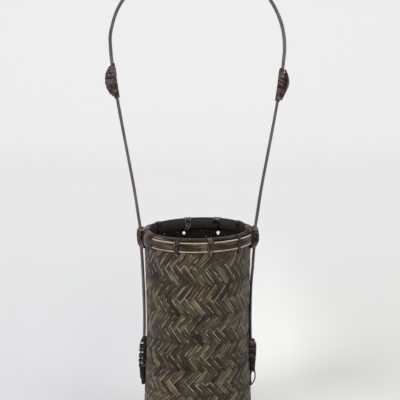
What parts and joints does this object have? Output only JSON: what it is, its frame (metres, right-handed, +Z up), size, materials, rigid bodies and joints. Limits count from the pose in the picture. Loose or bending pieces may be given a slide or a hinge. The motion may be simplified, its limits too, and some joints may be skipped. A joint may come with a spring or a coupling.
{
  "type": "woven bamboo flower vase",
  "caption": "Tall round woven bamboo vase with a lashed hoop rim, a tall arched cane handle bound on with rattan, and a lift-out water liner.",
  "frame": {"origin": "centre of the round base, on the plane of its foot ring", "axes": "+Z up along the vase's axis, the handle's plane is X-Z, the front faces -Y"},
  "size_m": [0.1803, 0.111, 0.4719],
  "materials": {
    "weave": "smoked split bamboo, satin",
    "hoop": "dark stained split bamboo, satin",
    "filler": "dark rattan cane",
    "cane": "grey-brown cane, satin",
    "rattan": "dark rattan strip, satin",
    "bar": "split bamboo, satin",
    "liner": "dark matt plastic"
  },
  "bodies": {
    "basket": {"woven_body": "weave", "rim_outer_hoop": "hoop", "rim_inner_hoop": "hoop", "rim_filler_cane": "filler", "handle_side_cane_left": "cane", "handle_top_arch": "cane", "handle_side_cane_right": "cane", "shoulder_bow_left": "rattan", "shoulder_binding_left": "rattan", "shoulder_bow_right": "rattan", "shoulder_binding_right": "rattan", "lower_bow_left": "rattan", "lower_binding_left": "rattan", "lower_bow_right": "rattan", "lower_binding_right": "rattan", "rim_lashing_1": "rattan", "rim_lashing_2": "rattan", "rim_lashing_3": "rattan", "rim_lashing_4": "rattan", "rim_lashing_5": "rattan", "rim_lashing_6": "rattan", "rim_lashing_7": "rattan", "rim_lashing_8": "rattan", "rim_knot_left": "rattan", "rim_knot_right": "rattan", "base_bar_front": "bar", "base_bar_back": "bar", "base_bar_left": "bar", "base_bar_right": "bar"},
    "liner": {"water_liner": "liner"}
  },
  "joints": [
    {"name": "liner_lift", "type": "slide", "parent": "basket", "child": "liner", "axis": [0, 0, 1], "range_m": [0, 0.204]}
  ]
}
